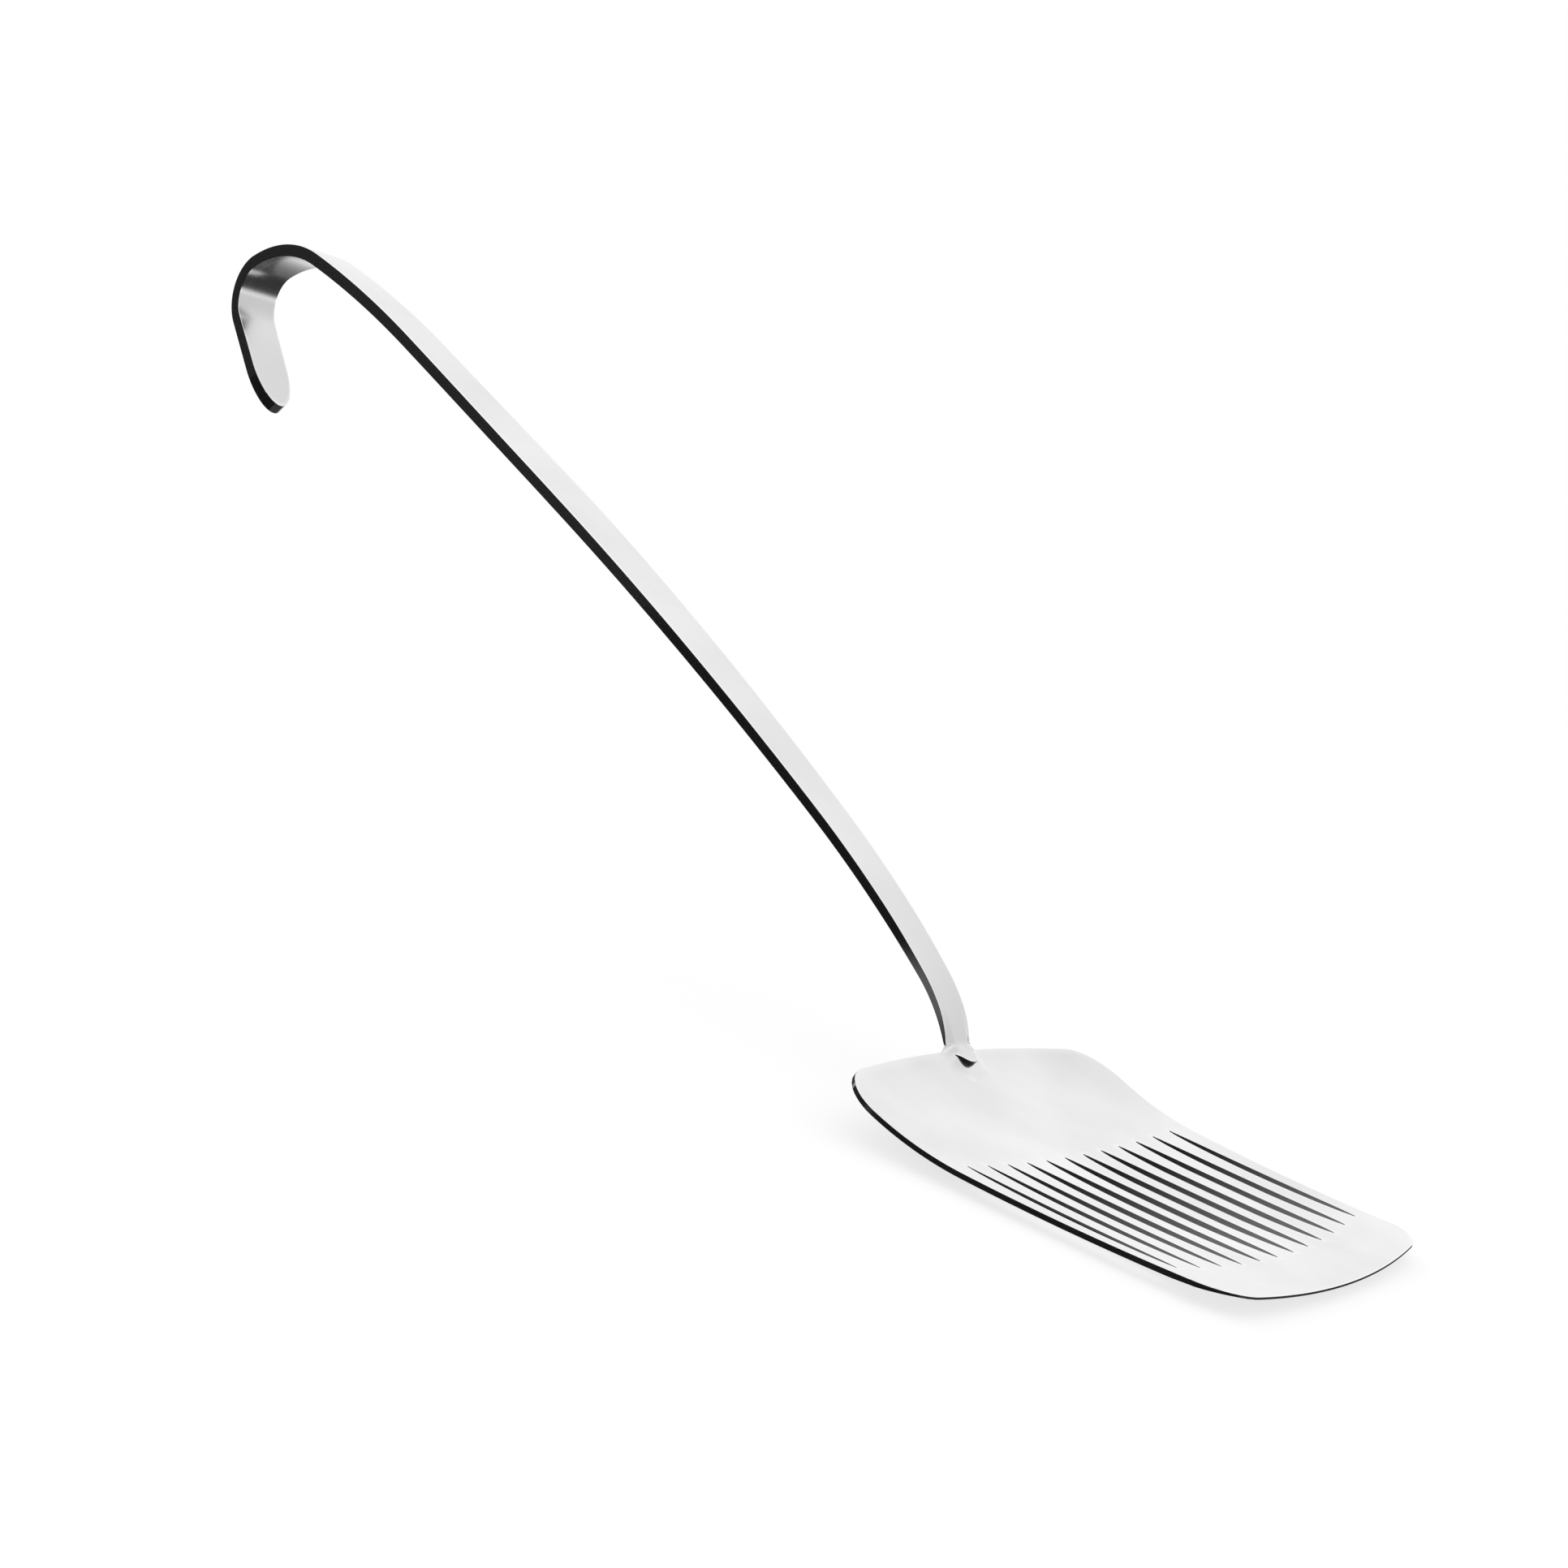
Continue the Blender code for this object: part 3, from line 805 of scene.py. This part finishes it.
def makeSky():
    world = bpy.data.worlds.new("studioSky")
    scene.world = world
    world.use_nodes = True
    tree = world.node_tree
    sky = tree.nodes["Background"]
    where = addNode(tree, "ShaderNodeTexCoord", (-900, 0))
    split = addNode(tree, "ShaderNodeSeparateXYZ", (-700, 0))
    fall = addRange(tree, (-500, 0), studio["skyFrom"], studio["sky"])
    path = addNode(tree, "ShaderNodeLightPath", (-500, 320))
    white = addNode(tree, "ShaderNodeMath", (-300, 0), operation="MAXIMUM")
    tree.links.new(where.outputs["Generated"], split.inputs["Vector"])
    tree.links.new(split.outputs["X"], fall.inputs["Value"])
    tree.links.new(fall.outputs["Result"], white.inputs[0])
    tree.links.new(path.outputs["Is Camera Ray"], white.inputs[1])
    tree.links.new(white.outputs["Value"], sky.inputs["Strength"])
    sky.inputs["Color"].default_value = (1.0, 1.0, 1.0, 1.0)


def makeSheet(name, corners, material):
    mesh = bmesh.new()
    mesh.faces.new([mesh.verts.new(Vector(corner) * mm) for corner in corners])
    sheet = makePiece(name, mesh, material)
    return sheet


def lying(west, east, south, north, height):
    return ((west, south, height), (east, south, height), (east, north, height), (west, north, height))


def standing(start, end, height):
    return ((*start, 0), (*end, 0), (*end, height), (*start, height))


def makeFloor():
    material = bpy.data.materials.new("floorWhite")
    material.use_nodes = True
    tree = material.node_tree
    tree.nodes.remove(tree.nodes["Principled BSDF"])
    matt = addNode(tree, "ShaderNodeBsdfDiffuse", (-300, 100))
    matt.inputs["Color"].default_value = (studio["floorShade"],) * 3 + (1.0,)
    glow = addNode(tree, "ShaderNodeEmission", (-300, -100))
    glow.inputs["Strength"].default_value = studio["floorWhite"] - studio["floorShade"]
    both = addNode(tree, "ShaderNodeAddShader", (-100, 0))
    tree.links.new(matt.outputs[0], both.inputs[0])
    tree.links.new(glow.outputs[0], both.inputs[1])
    tree.links.new(both.outputs[0], tree.nodes["Material Output"].inputs["Surface"])
    half = studio["floorSize"] / 2
    makeSheet("floor", lying(-half, half, -half, half, studio["floorHeight"]), material)


def plain(shade):
    # the same shade near and far
    return (0, 0, 0), (1, shade), (2, shade)


# each card's corners, the point its shade is measured from, and (distance, shade) near it and far from it
level = studio["cardHeight"]
wall = studio["wallHeight"]
cards = {
    # painted shadow: a dark sheet under the blade that stands for the floor in the blade's shadow, seen in
    # the steel through the slots
    "shadowCardUnder": (lying(60, 203, -42, 60, level), (-400, 0, 0), (555, 0.014), (602, 0.18)),
    "cardTip": (lying(203, 240, -42, 60, level), *plain(0.03)),
    "cardHeel": (lying(-1200, 60, -42, 60, level), (0, 0, 0), (120, 0.03), (500, 0.12)),
    "cardLow": (lying(-1200, 1400, -1000, -42, level), (58, -85, 0), (12, 0.1), (62, 0.007)),
    "cardBack": (lying(-1200, 1200, 60, 1100, level), (-60, 120, 0), (130, 0.03), (620, 0.9)),
    "cardSide": (standing((-1200, -1000), (1400, -1000), wall), *plain(0.016)),
    "cardEnd": (standing((-1200, -1000), (-1200, 400), wall), *plain(0.016)),
}


def makeCard(name, corners, centre, near, far):
    material = bpy.data.materials.new(name)
    material.use_nodes = True
    tree = material.node_tree
    tree.nodes.clear()
    where = addNode(tree, "ShaderNodeTexCoord", (-900, 0))
    distance = addNode(tree, "ShaderNodeVectorMath", (-700, 0), operation="DISTANCE")
    distance.inputs[1].default_value = Vector(centre) * mm
    span = (near[0] * mm, far[0] * mm)
    shade = addRange(tree, (-500, 0), span, (near[1], far[1]), interpolation_type="SMOOTHSTEP")
    glow = addNode(tree, "ShaderNodeEmission", (-300, 0))
    output = addNode(tree, "ShaderNodeOutputMaterial", (0, 0))
    tree.links.new(where.outputs["Object"], distance.inputs[0])
    tree.links.new(distance.outputs["Value"], shade.inputs["Value"])
    tree.links.new(shade.outputs["Result"], glow.inputs["Strength"])
    tree.links.new(glow.outputs[0], output.inputs["Surface"])
    card = makeSheet(name, corners, material)
    card.visible_camera = False
    card.visible_diffuse = False
    card.visible_shadow = False
    card.visible_transmission = False


makeSky()
makeFloor()
for name, card in cards.items():
    makeCard(name, *card)
print("studio set")
